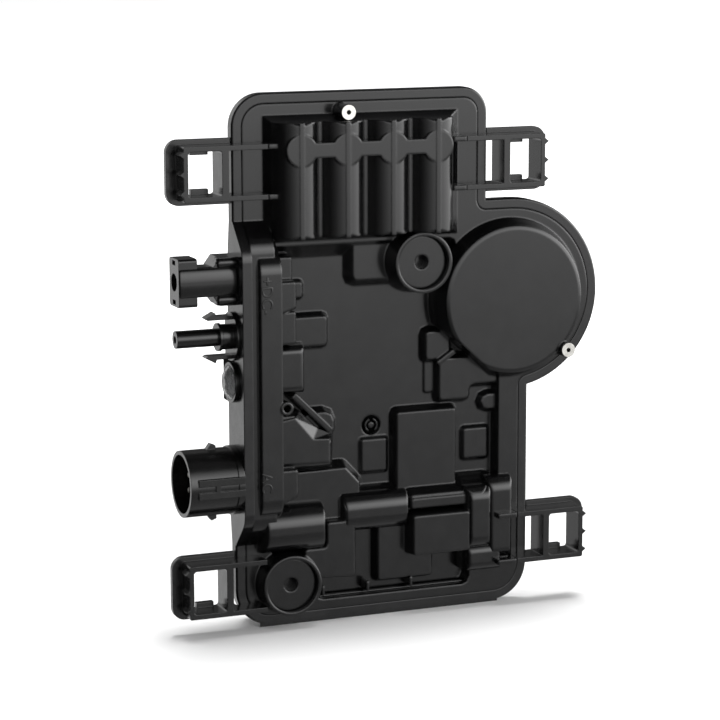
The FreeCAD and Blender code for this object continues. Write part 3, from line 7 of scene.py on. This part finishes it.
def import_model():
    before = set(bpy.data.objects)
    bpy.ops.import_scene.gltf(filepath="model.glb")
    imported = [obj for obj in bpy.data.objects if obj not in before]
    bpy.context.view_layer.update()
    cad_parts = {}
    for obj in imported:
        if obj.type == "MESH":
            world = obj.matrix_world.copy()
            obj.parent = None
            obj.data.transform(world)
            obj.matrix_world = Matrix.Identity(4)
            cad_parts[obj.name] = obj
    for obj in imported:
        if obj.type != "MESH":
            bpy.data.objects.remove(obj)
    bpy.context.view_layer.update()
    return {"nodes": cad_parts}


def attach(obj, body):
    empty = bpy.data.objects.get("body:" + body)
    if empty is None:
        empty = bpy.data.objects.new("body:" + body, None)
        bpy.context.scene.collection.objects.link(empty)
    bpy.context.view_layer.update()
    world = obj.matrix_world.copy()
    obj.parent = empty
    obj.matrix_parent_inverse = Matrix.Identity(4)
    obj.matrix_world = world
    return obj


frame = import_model()
nodes = frame["nodes"]

MM = 0.001
FLANGE_Y = -8.75  # front of the cover's flange


def place(x, rise, z):
    """Point in metres from a position over the flange's front, in millimetres."""
    return Vector((x, FLANGE_Y - rise, z)) * MM


# Node helpers: an output is a socket, and an input is a node with the name or number of its socket

MIX_FACTOR, MIX_FIRST, MIX_SECOND, MIX_RESULT = 0, 6, 7, 2  # a mix node's sockets for colours
NOISE_SPAN = (0.3, 0.7)  # where nearly all values of a noise lie


def link(tree, output, node, name):
    tree.links.new(output, node.inputs[name])


def maths(tree, operation, *inputs):
    """Output of a maths node on sockets or plain numbers."""
    node = tree.nodes.new("ShaderNodeMath")
    node.operation = operation
    for index, source in enumerate(inputs):
        if isinstance(source, (int, float)):
            node.inputs[index].default_value = source
        else:
            link(tree, source, node, index)
    return node.outputs[0]


def vector_maths(tree, operation, vector, other=None):
    """Outputs of a vector maths node on a socket and a plain vector."""
    node = tree.nodes.new("ShaderNodeVectorMath")
    node.operation = operation
    link(tree, vector, node, 0)
    if other is not None:
        node.inputs[1].default_value = other
    return node.outputs


def map_range(tree, value, span, result):
    """Carries a value from one span to another, and holds it at the ends."""
    node = tree.nodes.new("ShaderNodeMapRange")
    node.inputs["From Min"].default_value = span[0]
    node.inputs["From Max"].default_value = span[1]
    node.inputs["To Min"].default_value = result[0]
    node.inputs["To Max"].default_value = result[1]
    link(tree, value, node, "Value")
    return node.outputs[0]


def choose(tree, share, first, second):
    """First where the share is 1, and second where it is 0."""
    rest = maths(tree, "SUBTRACT", 1.0, share)
    return maths(tree, "ADD", maths(tree, "MULTIPLY", first, share),
                 maths(tree, "MULTIPLY", second, rest))


def object_noise(tree, scale, detail=2.0, rough=0.5):
    """Noise that keeps its place on the object."""
    coords = tree.nodes.new("ShaderNodeTexCoord")
    noise = tree.nodes.new("ShaderNodeTexNoise")
    noise.inputs["Scale"].default_value = scale
    noise.inputs["Detail"].default_value = detail
    noise.inputs["Roughness"].default_value = rough
    link(tree, coords.outputs["Object"], noise, "Vector")
    return noise.outputs["Fac"]


def spread(tree, noise, low, high):
    """Numbers between low and high, from a noise."""
    return map_range(tree, noise, NOISE_SPAN, (low, high))


def mottle(tree, shader, noise, dark, light):
    """Colour that drifts between two tones with a noise."""
    mix = tree.nodes.new("ShaderNodeMix")
    mix.data_type = "RGBA"
    mix.inputs[MIX_FIRST].default_value = (*dark, 1.0)
    mix.inputs[MIX_SECOND].default_value = (*light, 1.0)
    link(tree, spread(tree, noise, 0.0, 1.0), mix, MIX_FACTOR)
    link(tree, mix.outputs[MIX_RESULT], shader, "Base Color")


# Materials

GLOSS_PATCH = 2.7  # scale of the gloss clouds over that of the colour clouds
GRAIN_SCALE, GRAIN_HEIGHT, GRAIN_STRENGTH = 2600.0, 0.01, 0.25
BEVEL_SAMPLES = 6


def new_material(name):
    material = bpy.data.materials.new(name)
    material.use_nodes = True
    tree = material.node_tree
    return material, tree, tree.nodes["Principled BSDF"]


def surface(name, dark, light, rough, patch=60.0, bevel=0.0, metallic=0.0, specular=0.5):
    """Moulded or metal surface: cloudy colour and gloss, a fine grain and softened edges.

    Rough is the range of its roughness, patch the scale of its clouds, and bevel the radius of
    its edges in millimetres.
    """
    material, tree, shader = new_material(name)
    mottle(tree, shader, object_noise(tree, patch, 4.0, 0.55), dark, light)
    gloss = object_noise(tree, patch * GLOSS_PATCH, 3.0, 0.6)
    link(tree, spread(tree, gloss, *rough), shader, "Roughness")
    shader.inputs["Metallic"].default_value = metallic
    shader.inputs["Specular IOR Level"].default_value = specular
    bump = tree.nodes.new("ShaderNodeBump")
    bump.inputs["Strength"].default_value = GRAIN_STRENGTH
    bump.inputs["Distance"].default_value = GRAIN_HEIGHT * MM
    link(tree, object_noise(tree, GRAIN_SCALE, 1.0), bump, "Height")
    if bevel:
        soft = tree.nodes.new("ShaderNodeBevel")
        soft.samples = BEVEL_SAMPLES
        soft.inputs["Radius"].default_value = bevel * MM
        link(tree, soft.outputs["Normal"], bump, "Normal")
    link(tree, bump.outputs["Normal"], shader, "Normal")
    return material


housing = surface("housing_plastic", (0.0030, 0.0030, 0.0032), (0.0048, 0.0048, 0.0050),
                  rough=(0.15, 0.21), bevel=1.1)
shell = surface("shell_plastic", (0.0035, 0.0035, 0.0038), (0.0060, 0.0060, 0.0063),
                rough=(0.18, 0.26), bevel=0.7)
fitting = surface("fitting_plastic", (0.0030, 0.0030, 0.0030), (0.0050, 0.0050, 0.0050),
                  rough=(0.16, 0.24), bevel=0.35)
tab_plastic = surface("tab_plastic", (0.0035, 0.0035, 0.0036), (0.0055, 0.0055, 0.0057),
                      rough=(0.18, 0.26), bevel=0.45)
rubber = surface("seal_rubber", (0.012, 0.012, 0.012), (0.022, 0.022, 0.022),
                 rough=(0.6, 0.75), specular=0.3)
# Near-black and nearly glossless: the plate behind the window, and the painted shade of the floor
# recess's dark hollow
matte = surface("matte_plate_and_painted_shade", (0.001, 0.001, 0.001), (0.002, 0.002, 0.002),
                rough=(0.8, 0.9), specular=0.02)
sleeve = surface("sleeve_nickel", (0.52, 0.51, 0.48), (0.64, 0.63, 0.60),
                 rough=(0.18, 0.28), patch=400.0, metallic=1.0, bevel=0.1)
tin = surface("contact_tin", (0.60, 0.58, 0.54), (0.74, 0.72, 0.68),
              rough=(0.25, 0.4), patch=300.0, metallic=1.0)
board = surface("board_laminate", (0.010, 0.060, 0.022), (0.016, 0.085, 0.032),
                rough=(0.35, 0.5), patch=220.0)
resin = surface("potting_resin", (0.030, 0.030, 0.034), (0.045, 0.045, 0.050),
                rough=(0.4, 0.6), patch=90.0)
aluminium = surface("rolled_aluminium", (0.62, 0.63, 0.65), (0.74, 0.75, 0.77),
                    rough=(0.3, 0.45), patch=150.0, metallic=1.0)
ferrite = surface("ferrite_core", (0.030, 0.030, 0.032), (0.050, 0.050, 0.052),
                  rough=(0.55, 0.75), patch=500.0)
copper = surface("enamelled_copper", (0.42, 0.15, 0.06), (0.58, 0.24, 0.10),
                 rough=(0.2, 0.35), patch=350.0, metallic=1.0)
component = surface("component_case", (0.025, 0.025, 0.027), (0.040, 0.040, 0.043),
                    rough=(0.4, 0.55), patch=200.0)


def clear_plastic():
    """Clear moulded plastic with a faint haze, for the window and what lies behind it."""
    material, tree, shader = new_material("window_plastic")
    haze = object_noise(tree, 500.0, 3.0)
    mottle(tree, shader, haze, (0.84, 0.85, 0.86), (0.94, 0.95, 0.96))
    link(tree, spread(tree, haze, 0.01, 0.04), shader, "Roughness")
    shader.inputs["Transmission Weight"].default_value = 0.88
    shader.inputs["IOR"].default_value = 1.49
    return material


clear = clear_plastic()

BY_NODE = {
    "front_housing": housing,
    "rear_housing": shell,
    "housing_gasket": rubber,
    "indicator_lens": clear,
    "light_pipe": clear,
    "status_lamp": clear,
    "circuit_board": board,
    "potting_compound": resin,
    "heat_spreader": aluminium,
    "transformer_core": ferrite,
    "transformer_winding": copper,
    "output_choke": copper,
    "line_choke": copper,
    "upper_boss_plug": housing,
    "lower_boss_plug": housing,
}


def material_for(name):
    if name in BY_NODE:
        return BY_NODE[name]
    if name.startswith("mounting_tab"):
        return tab_plastic
    if name.endswith("_seal"):
        return rubber
    if "contact" in name:
        return tin
    if name.endswith("_sleeve"):
        return sleeve
    if name.startswith("input_capacitor"):
        return aluminium
    if "connector" in name or name == "indicator_bezel":
        return fitting
    return component


for name, obj in nodes.items():
    obj.data.materials.clear()
    obj.data.materials.append(material_for(name))


# Pieces that the solids don't have: each lies over its solid and rides with the part

def add_piece(name, mesh, material):
    mesh.name = name
    mesh.materials.append(material)
    piece = bpy.data.objects.new(name, mesh)
    bpy.context.scene.collection.objects.link(piece)
    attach(piece, "root")
    return piece


# Lettering on the ridge, which reads downwards and stands a little proud. The text's X runs down
# the part, its Y to the right and its Z to the front.

RIDGE_RISE = 11.4
LETTER_DEPTH, LETTER_EDGE = 0.35, 0.08
LETTER_TURN = Matrix(((0, 1, 0, 0), (0, 0, -1, 0), (-1, 0, 0, 0), (0, 0, 0, 1)))


def lettering(name, text, x, z, size):
    """Raised text whose baseline starts at x and z, in millimetres."""
    curve = bpy.data.curves.new(name + "_curve", "FONT")
    curve.body = text
    curve.size = size * MM
    curve.extrude = LETTER_DEPTH / 2 * MM
    curve.bevel_depth = LETTER_EDGE * MM
    curve.bevel_resolution = 1
    curve.resolution_u = 4
    temporary = bpy.data.objects.new(name + "_text", curve)
    bpy.context.scene.collection.objects.link(temporary)
    bpy.context.view_layer.update()
    mesh = bpy.data.meshes.new_from_object(temporary)
    bpy.data.objects.remove(temporary)
    mesh.transform(Matrix.Translation(place(x, RIDGE_RISE, z)) @ LETTER_TURN)
    add_piece(name, mesh, fitting)


lettering("dc_marking", "+DC-", -52.1, 143.0, 6.3)
lettering("ac_marking", "AC", -52.7, 65.6, 6.0)


# Small moulded forms. Rises are over the flange's front, all in millimetres.

POCKET_BASE = -5.6  # just under the pocket's floor
CORNER_RADIUS, CORNER_STEPS = 0.8, 5
CORNER_SHARE = 0.45  # largest corner radius, as a share of the block's smaller side
CURVE_STEPS, CURVE_TURN = 10, 88  # of a block's curved front edge, the turn in degrees
ARC_POINTS = 24
RING = (0, 345)  # angles of a closed ring of ARC_POINTS points

# Soft blocks: name, (x0, x1, z0, z1), front, depth of the curved edge and its reach in X and Z
COVERS = (
    ("choke_cover_left", (-50.6, -24.3, 31.0, 50.1), 9.0, 8.0, (1.8, 8.4)),
    ("choke_cover_middle", (-15.4, 12.8, 35.9, 51.8), 4.7, 6.0, (1.3, 6.5)),
    ("choke_cover_right", (37.6, 48.4, 24.6, 51.0), 7.2, 5.5, (2.0, 5.5)),
    ("choke_cover_end", (47.2, 59.0, 18.0, 53.8), 5.2, 5.5, (2.4, 6.0)),
    ("corner_cover", (37.8, 54.0, 14.6, 26.5), 5.0, 4.5, (2.2, 4.0)),
    ("indicator_cover", (-49.0, -32.0, 95.0, 114.2), 6.2, 4.0, (2.6, 3.0)),
)

# Cover over the surge filter's bar: the foot rises straight to a shoulder and slants to the front
SURGE_FOOT = ((-43.5, 63.4), (-20.2, 63.0), (-19.8, 77.4), (-26.2, 80.0), (-33.8, 87.6),
              (-43.0, 87.4))
SURGE_FRONT = ((-42.8, 67.2), (-22.8, 66.8), (-22.6, 76.0), (-29.4, 76.4), (-37.0, 85.4),
               (-42.8, 84.4))
SURGE_SHOULDER_RISE, SURGE_FRONT_RISE = 2.6, 6.2

# Gussets at the pocket's lower edge
GUSSET_MIDDLES = (-23.2, -3.9, 15.0)
GUSSET_HALF = 0.7

# Round recess in the pocket, with a matte black disc of painted shade over its bottom and two arcs
RECESS_MIDDLE = (-0.15, 77.6)
RECESS_BASE, SHADE_DISC_RISE, ARC_RISE = -6.9, -6.6, -5.2
SHADE_DISC_RADIUS, ARC_OUTER, ARC_INNER = 3.95, 2.9, 2.1
ARC_STARTS = (("left", 110), ("right", -55))
ARC_TURN = 130

# Lobes above and below the positive DC connector's barrel
LOBE_MIDDLES = (("upper", 148.3), ("lower", 133.9))
LOBE_HALF = 2.2


def moulded(name, levels, material=housing):
    """Closed form through outlines (rise, [(x, z), ...]), from the back to the front."""
    count = len(levels[0][1])
    points = [place(x, rise, z) for rise, outline in levels for x, z in outline]
    faces = [tuple(reversed(range(count))), tuple(range(len(points) - count, len(points)))]
    for start in range(0, len(points) - count, count):
        for index in range(count):
            after = (index + 1) % count
            faces.append((start + index, start + after, start + count + after,
                          start + count + index))
    mesh = bpy.data.meshes.new(name)
    mesh.from_pydata(points, [], faces)
    mesh.update()
    return add_piece(name, mesh, material)


def round_corners(x0, x1, z0, z1, radius):
    """Outline of an upright rectangle with rounded corners."""
    outline = []
    centres = ((x1 - radius, z0 + radius), (x1 - radius, z1 - radius),
               (x0 + radius, z1 - radius), (x0 + radius, z0 + radius))
    for quarter, (x, z) in enumerate(centres):
        for step in range(CORNER_STEPS + 1):
            turn = math.radians(quarter * 90 - 90 + 90 * step / CORNER_STEPS)
            outline.append((x + radius * math.cos(turn), z + radius * math.sin(turn)))
    return outline


def arc(x, z, radius, first, last):
    """Points of an arc, anticlockwise between two angles in degrees."""
    turns = [math.radians(first + (last - first) * step / (ARC_POINTS - 1))
             for step in range(ARC_POINTS)]
    return [(x + radius * math.cos(turn), z + radius * math.sin(turn)) for turn in turns]


def soft_block(name, box, front, depth, reach, base=POCKET_BASE, material=housing):
    """Block whose front edge curves over a depth, and reaches in by two lengths along X and Z."""
    x0, x1, z0, z1 = box
    levels = [(base, round_corners(x0, x1, z0, z1, CORNER_RADIUS))]
    for step in range(CURVE_STEPS + 1):
        turn = math.radians(CURVE_TURN * step / CURVE_STEPS)
        across = reach[0] * (1 - math.cos(turn))
        along = reach[1] * (1 - math.cos(turn))
        smaller = min(x1 - x0 - 2 * across, z1 - z0 - 2 * along)
        radius = min(CORNER_RADIUS, smaller * CORNER_SHARE)
        levels.append((front - depth * (1 - math.sin(turn)),
                       round_corners(x0 + across, x1 - across, z0 + along, z1 - along, radius)))
    piece = moulded(name, levels, material)
    for face in piece.data.polygons:
        face.use_smooth = len(face.vertices) == 4


def forms():
    for cover in COVERS:
        soft_block(*cover)
    moulded("surge_cover", ((POCKET_BASE, SURGE_FOOT), (SURGE_SHOULDER_RISE, SURGE_FOOT),
                            (SURGE_FRONT_RISE, SURGE_FRONT)))
    for index, x in enumerate(GUSSET_MIDDLES):
        soft_block(f"edge_gusset_{index + 1}", (x - GUSSET_HALF, x + GUSSET_HALF, 10.2, 14.6),
                   0.3, 0.6, (0.3, 0.4))
    # Painted shade: a matte black disc over the recess's bottom stands for the dark of the hollow
    spot = arc(*RECESS_MIDDLE, SHADE_DISC_RADIUS, *RING)
    moulded("recess_painted_shade", ((RECESS_BASE, spot), (SHADE_DISC_RISE, spot)), matte)
    for side, first in ARC_STARTS:
        outer = arc(*RECESS_MIDDLE, ARC_OUTER, first, first + ARC_TURN)
        inner = arc(*RECESS_MIDDLE, ARC_INNER, first, first + ARC_TURN)
        segment = outer + inner[::-1]
        moulded(f"recess_arc_{side}", ((RECESS_BASE, segment), (ARC_RISE, segment)))
    soft_block("dc_barrel", (-83.55, -60.2, 135.5, 146.7), 6.2, 1.5, (0.3, 5.2),
               base=3.0, material=fitting)
    for side, z in LOBE_MIDDLES:
        soft_block(f"dc_lobe_{side}", (-68.2, -60.2, z - LOBE_HALF, z + LOBE_HALF),
                   6.0, 2.4, (0.5, 2.1), base=1.0, material=fitting)
    soft_block("window_plate", (-61.2, -59.9, 92.0, 108.6), -1.2, 0.3, (0.2, 0.3),
               base=-9.4, material=matte)


forms()


# Floor: white paper that the camera sees a little lighter, and more so far from the part

FLOOR_SIZE = 12.0
FLOOR_LIFT, FAR_FLOOR_LIFT = 0.04, 0.90
FLOOR_LIFT_SPAN = (0.2, 0.9)  # metres from the part


def floor():
    bpy.ops.mesh.primitive_plane_add(size=FLOOR_SIZE, location=(0, 0, 0))
    plane = bpy.context.object
    plane.name = "floor"
    plane.visible_glossy = False
    material, tree, shader = new_material("floor_paper")
    mottle(tree, shader, object_noise(tree, 3.0), (0.80, 0.80, 0.80), (0.83, 0.83, 0.83))
    shader.inputs["Roughness"].default_value = 0.9
    shader.inputs["Specular IOR Level"].default_value = 0.1
    shader.inputs["Emission Color"].default_value = (1, 1, 1, 1)
    coords = tree.nodes.new("ShaderNodeTexCoord").outputs
    distance = vector_maths(tree, "LENGTH", coords["Object"])["Value"]
    lift = map_range(tree, distance, FLOOR_LIFT_SPAN, (FLOOR_LIFT, FAR_FLOOR_LIFT))
    path = tree.nodes.new("ShaderNodeLightPath").outputs
    link(tree, maths(tree, "MULTIPLY", path["Is Camera Ray"], lift), shader, "Emission Strength")
    plane.data.materials.append(material)


# World: white to the camera, a dim grey to plain light, and two soft panels to the gloss. One
# panel stands tall at the front right, and a narrow one behind the left side.

WORLD_LEVEL = 0.42
PANEL_AZIMUTH, PANEL_POWER, PANEL_LEVEL = 75, 1.7, 5.61
PANEL_HEIGHTS = ((-0.30, 0.10), (-0.17, 0.23), (-0.07, 0.58), (0.08, 0.86), (0.32, 1.0),
                 (0.55, 0.50), (0.74, 0.02))  # (sine of the elevation, share of the level)
PANEL_FADE_SPAN, PANEL_FADE = (0.3, 0.86), (1.0, 0.04)  # towards the back, by the direction's Y
BACK_PANEL_AZIMUTH, BACK_PANEL_POWER, BACK_PANEL_LEVEL = -167, 55.0, 1.25


def towards(tree, vector, azimuth):
    """1 in one horizontal direction and 0 in the opposite one.

    Azimuth 0 is the front, 90 the right.
    """
    flat = vector_maths(tree, "MULTIPLY", vector, (1, 1, 0))["Vector"]
    unit = vector_maths(tree, "NORMALIZE", flat)["Vector"]
    turn = math.radians(azimuth)
    side = vector_maths(tree, "DOT_PRODUCT", unit, (math.sin(turn), -math.cos(turn), 0))["Value"]
    return maths(tree, "MULTIPLY_ADD", side, 0.5, 0.5)


def panel(tree, ray, azimuth, power, level):
    """Soft panel in one horizontal direction: a higher power makes it narrower."""
    share = maths(tree, "POWER", towards(tree, ray, azimuth), power)
    return maths(tree, "MULTIPLY", share, level)


def panel_heights(tree, sine):
    """Share of the panel's level at a sine of the elevation."""
    node = tree.nodes.new("ShaderNodeValToRGB")
    ramp = node.color_ramp
    while len(ramp.elements) < len(PANEL_HEIGHTS):
        ramp.elements.new(0.5)
    for element, (height, share) in zip(ramp.elements, PANEL_HEIGHTS):
        element.position = (height + 1) / 2
        element.color = (share, share, share, 1)
    link(tree, maths(tree, "MULTIPLY_ADD", sine, 0.5, 0.5), node, "Fac")
    return node.outputs["Color"]


def world():
    scene_world = bpy.data.worlds.new("studio")
    bpy.context.scene.world = scene_world
    scene_world.use_nodes = True
    tree = scene_world.node_tree
    path = tree.nodes.new("ShaderNodeLightPath").outputs
    ray = tree.nodes.new("ShaderNodeTexCoord").outputs["Generated"]
    split = tree.nodes.new("ShaderNodeSeparateXYZ")
    link(tree, ray, split, 0)
    front = panel(tree, ray, PANEL_AZIMUTH, PANEL_POWER, PANEL_LEVEL)
    front = maths(tree, "MULTIPLY", front, panel_heights(tree, split.outputs["Z"]))
    fade = map_range(tree, split.outputs["Y"], PANEL_FADE_SPAN, PANEL_FADE)
    front = maths(tree, "MULTIPLY", front, fade)
    back = panel(tree, ray, BACK_PANEL_AZIMUTH, BACK_PANEL_POWER, BACK_PANEL_LEVEL)
    mirrored = maths(tree, "ADD", front, back)
    level = choose(tree, path["Is Glossy Ray"], mirrored, WORLD_LEVEL)
    seen = maths(tree, "MAXIMUM", path["Is Camera Ray"], path["Is Transmission Ray"])
    background = tree.nodes["Background"]
    background.inputs["Color"].default_value = (1, 1, 1, 1)
    link(tree, choose(tree, seen, 1.0, level), background, "Strength")


# Lamps and camera

def lamp(name, spot, target, size, power):
    """Square lamp at a spot that faces a target, all in metres and watts."""
    data = bpy.data.lights.new(name, "AREA")
    data.size = size
    data.energy = power
    obj = bpy.data.objects.new(name, data)
    obj.location = spot
    obj.rotation_euler = (Vector(target) - Vector(spot)).to_track_quat("-Z", "Y").to_euler()
    obj.visible_glossy = False
    bpy.context.scene.collection.objects.link(obj)


CAMERA_LENS, CAMERA_SENSOR, CAMERA_CLIP = 126.45, 36.0, 20.0
CAMERA_RIGHT = (0.92885, -0.37045, -0.00223)
CAMERA_UP = (0.06853, 0.16591, 0.98376)
CAMERA_LOOK = (0.36406, 0.91392, -0.17949)
CAMERA_TARGET = (-7.05, FLANGE_Y, 105.6)  # millimetres, as the distance
CAMERA_DISTANCE = 1006.5


def camera():
    """View of the photograph, as fitted to it."""
    data = bpy.data.cameras.new("photo_view")
    data.sensor_width = CAMERA_SENSOR
    data.lens = CAMERA_LENS
    data.clip_end = CAMERA_CLIP
    obj = bpy.data.objects.new("photo_view", data)
    turn = Matrix((CAMERA_RIGHT, CAMERA_UP, -Vector(CAMERA_LOOK))).transposed().to_4x4()
    spot = Vector([middle - look * CAMERA_DISTANCE
                   for middle, look in zip(CAMERA_TARGET, CAMERA_LOOK)]) * MM
    obj.matrix_world = Matrix.Translation(spot) @ turn
    bpy.context.scene.collection.objects.link(obj)
    bpy.context.scene.camera = obj


floor()
world()
lamp("key", spot=(0.15, 0.16, 1.6), target=(0, 0, 0), size=0.7, power=33.0)
lamp("fill", spot=(0.6, -1.2, 0.9), target=(0, 0, 0.1), size=0.9, power=7.0)
camera()
bpy.context.scene.view_settings.view_transform = "Standard"
